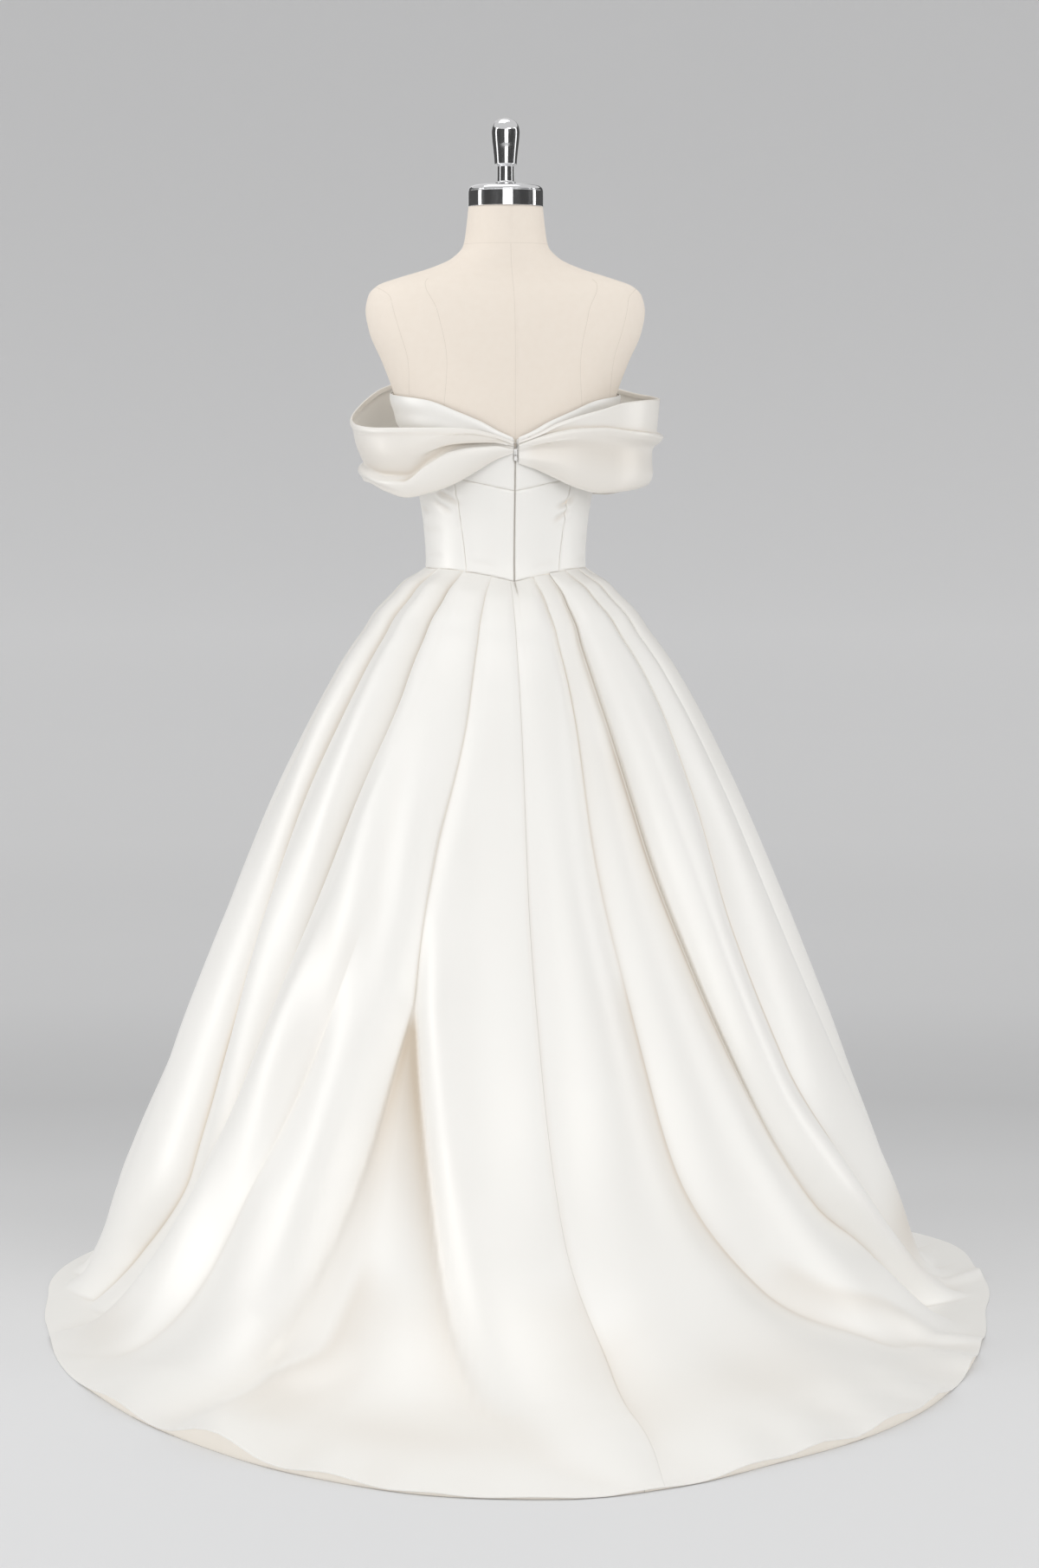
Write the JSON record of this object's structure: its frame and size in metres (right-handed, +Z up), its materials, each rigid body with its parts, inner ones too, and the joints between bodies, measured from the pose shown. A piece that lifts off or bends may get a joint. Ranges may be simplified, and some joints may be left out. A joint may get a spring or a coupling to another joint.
{
  "type": "wedding dress on dress form",
  "caption": "Off-shoulder satin ball gown with draped arm swags, a fitted zipped bodice and a pleated skirt with a train, on a limbless dress form with a chrome cap.",
  "frame": {"origin": "on the floor, at the middle of the underside of the form's round base", "axes": "+Z up, +Y towards the train at the wearer's back, +X towards the wearer's left"},
  "size_m": [1.3178, 1.8191, 1.6125],
  "materials": {
    "satin": "ivory duchess satin with a soft sheen",
    "linen": "cream linen stretched over the form",
    "chrome": "polished chrome",
    "nickel": "small nickel-plated zip and hook parts",
    "steel": "stand of satin steel, hidden under the skirt",
    "zip": "ivory nylon zip chain"
  },
  "bodies": {
    "root": {"back_yoke_left": "satin", "back_yoke_right": "satin", "bodice_back_left": "satin", "bodice_back_right": "satin", "centre_front": "satin", "form_finial": "chrome", "form_neck_cap": "chrome", "form_torso": "linen", "hook_and_eye": "nickel", "neck_band_left": "satin", "neck_band_right": "satin", "side_back_left": "satin", "side_back_right": "satin", "side_front_left": "satin", "side_front_right": "satin", "skirt_back_left": "satin", "skirt_back_right": "satin", "skirt_front_left": "satin", "skirt_front_right": "satin", "skirt_side_left": "satin", "skirt_side_right": "satin", "stand_base": "steel", "stand_pole": "steel", "swag_left": "satin", "swag_right": "satin", "zip_chain": "zip", "zip_slider": "nickel"},
    "zip_pull": {"zip_pull": "nickel"}
  },
  "joints": [
    {"name": "zip_pull_swing", "type": "hinge", "parent": "root", "child": "zip_pull", "pos_m": [0, 0.1046, 1.148], "axis": [1, 0, 0], "range_deg": [0, 135]}
  ]
}
